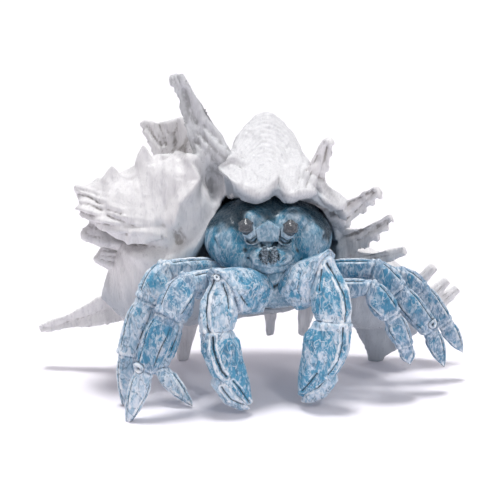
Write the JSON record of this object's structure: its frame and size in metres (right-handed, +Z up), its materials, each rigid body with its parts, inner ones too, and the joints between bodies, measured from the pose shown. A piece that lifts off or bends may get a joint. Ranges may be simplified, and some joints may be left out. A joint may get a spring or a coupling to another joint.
{
  "type": "crab figurine",
  "caption": "Painted resin hermit crab in a white spiny sea shell, a free-standing table figurine on two toes and two shell feet.",
  "frame": {"origin": "centre of the footprint box, on the surface that it stands on", "axes": "+Z up, -Y towards the viewer that the crab faces, +X to the viewer's right along its width"},
  "size_m": [0.3333, 0.1767, 0.2354],
  "materials": {
    "shell_white": "chalky white paint with a thin grey-brown wash in the hollows",
    "crab_blue": "sky-blue paint dry-brushed with white, dark wash in the grooves",
    "eye_gloss": "dark grey gloss",
    "steel": "plain six-sided steel pin"
  },
  "bodies": {
    "root": {"belly_spines": "shell_white", "canal_blade": "shell_white", "canal_spine_1": "shell_white", "canal_spine_2": "shell_white", "canal_spine_3": "shell_white", "carapace": "crab_blue", "face_plate": "crab_blue", "left_claw_arm": "crab_blue", "left_claw_finger": "crab_blue", "left_claw_palm": "crab_blue", "left_claw_wrist": "crab_blue", "left_eye": "eye_gloss", "left_eyestalk": "crab_blue", "left_leg_1_knee": "crab_blue", "left_leg_1_shin": "crab_blue", "left_leg_1_thigh": "crab_blue", "left_leg_1_toe": "crab_blue", "left_leg_2_knee": "crab_blue", "left_leg_2_shin": "crab_blue", "left_leg_2_thigh": "crab_blue", "left_leg_2_toe": "crab_blue", "left_leg_3_knee": "crab_blue", "left_leg_3_shin": "crab_blue", "left_leg_3_thigh": "crab_blue", "left_leg_3_toe": "crab_blue", "left_spine": "shell_white", "limb_pins": "steel", "lip_crest": "shell_white", "lip_spine_1": "shell_white", "lip_spine_2": "shell_white", "lip_spine_3": "shell_white", "lip_spine_4": "shell_white", "mouthparts": "crab_blue", "rear_flute": "shell_white", "rear_foot_spine": "shell_white", "right_claw_arm": "crab_blue", "right_claw_finger": "crab_blue", "right_claw_palm": "crab_blue", "right_claw_wrist": "crab_blue", "right_eye": "eye_gloss", "right_eyestalk": "crab_blue", "right_leg_1_knee": "crab_blue", "right_leg_1_shin": "crab_blue", "right_leg_1_thigh": "crab_blue", "right_leg_1_toe": "crab_blue", "right_leg_2_knee": "crab_blue", "right_leg_2_shin": "crab_blue", "right_leg_2_thigh": "crab_blue", "right_leg_2_toe": "crab_blue", "right_leg_3_knee": "crab_blue", "right_leg_3_shin": "crab_blue", "right_leg_3_thigh": "crab_blue", "right_leg_3_toe": "crab_blue", "shell_body": "shell_white", "shell_canal": "shell_white", "shell_spire": "shell_white", "side_frill_1": "shell_white", "side_frill_2": "shell_white", "thorax": "crab_blue", "top_spine": "shell_white"}
  },
  "joints": []
}
